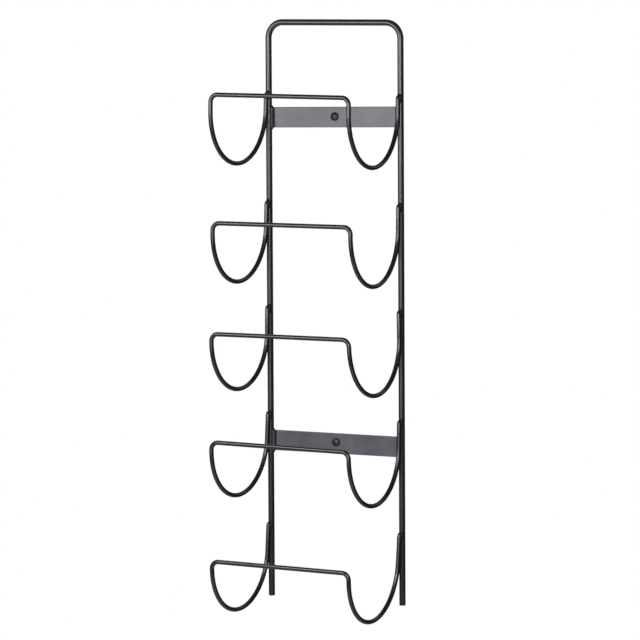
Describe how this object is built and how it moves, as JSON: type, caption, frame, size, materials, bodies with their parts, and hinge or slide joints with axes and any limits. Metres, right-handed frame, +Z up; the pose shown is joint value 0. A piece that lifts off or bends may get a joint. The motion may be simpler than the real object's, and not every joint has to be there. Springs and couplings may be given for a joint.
{
  "type": "wine rack",
  "caption": "Wall-hung wine rack in satin black steel: a bent rod frame with bent wire cradles that hold lying bottles, and two flat straps with screws.",
  "frame": {"origin": "centre of the upper screw hole, on the wall plane that the backs of the straps and of the frame rod lie on", "axes": "+Z up along the uprights, +Y into the wall, -Y out of the wall towards the bottles, +X to the right seen from the front"},
  "size_m": [0.1711, 0.1548, 0.6156],
  "materials": {
    "frame_coat": "satin black powder coat",
    "cradle_coat": "satin black powder coat",
    "strap_coat": "satin black powder coat, fine orange peel",
    "weld_coat": "satin black powder coat over rippled weld metal",
    "screw_black": "black oxide with a light oil sheen"
  },
  "bodies": {
    "root": {"back_frame": "frame_coat", "cradle_1": "cradle_coat", "cradle_1_left_weld": "weld_coat", "cradle_1_right_weld": "weld_coat", "cradle_2": "cradle_coat", "cradle_2_left_weld": "weld_coat", "cradle_2_right_weld": "weld_coat", "cradle_3": "cradle_coat", "cradle_3_left_weld": "weld_coat", "cradle_3_right_weld": "weld_coat", "cradle_4": "cradle_coat", "cradle_4_left_weld": "weld_coat", "cradle_4_right_weld": "weld_coat", "cradle_5": "cradle_coat", "cradle_5_left_weld": "weld_coat", "cradle_5_right_weld": "weld_coat", "upper_strap": "strap_coat", "upper_strap_left_weld": "weld_coat", "upper_strap_right_weld": "weld_coat", "upper_screw": "screw_black", "lower_strap": "strap_coat", "lower_strap_left_weld": "weld_coat", "lower_strap_right_weld": "weld_coat", "lower_screw": "screw_black"}
  },
  "joints": []
}
